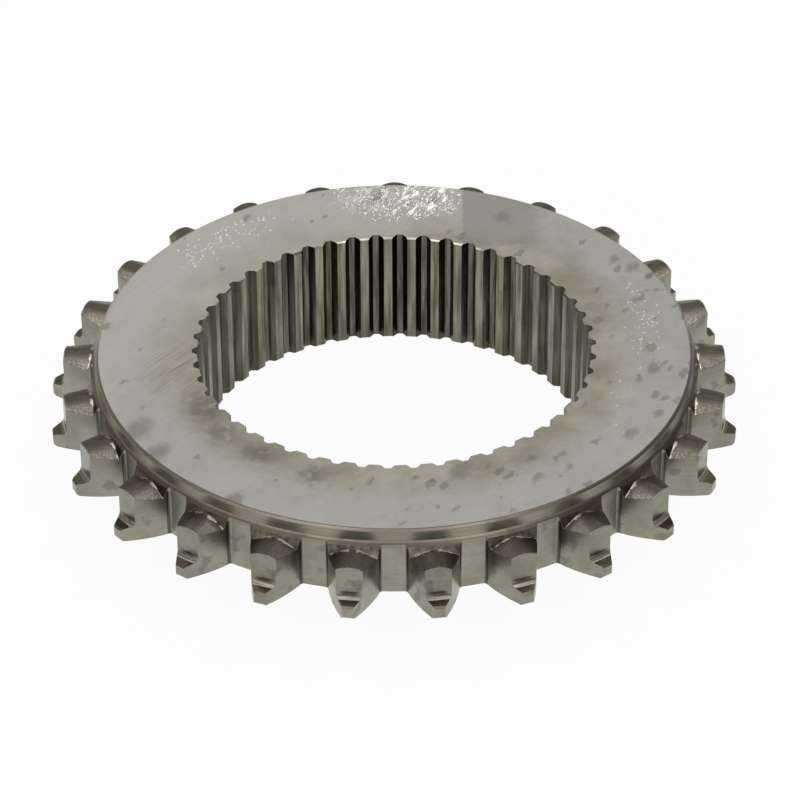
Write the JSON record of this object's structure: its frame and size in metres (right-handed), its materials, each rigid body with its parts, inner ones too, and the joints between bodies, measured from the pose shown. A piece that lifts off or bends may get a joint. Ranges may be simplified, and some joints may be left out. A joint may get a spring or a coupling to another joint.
{
  "type": "toothed retaining ring",
  "caption": "Steel ring with coarse stepped gear teeth round its rim, a raised flat face, a fine spline through the bore and a short hub underneath.",
  "frame": {"origin": "on the axis of the ring, in the plane of the underside of the hub", "axes": "+Z along the axis, out through the flat raised face; -Y through the middle of a gap between two external teeth"},
  "size_m": [0.137, 0.1368, 0.025],
  "materials": {
    "toothed_ring": "machined steel, ground on top, used and lightly stained"
  },
  "bodies": {
    "root": {"toothed_ring": "toothed_ring"}
  },
  "joints": []
}
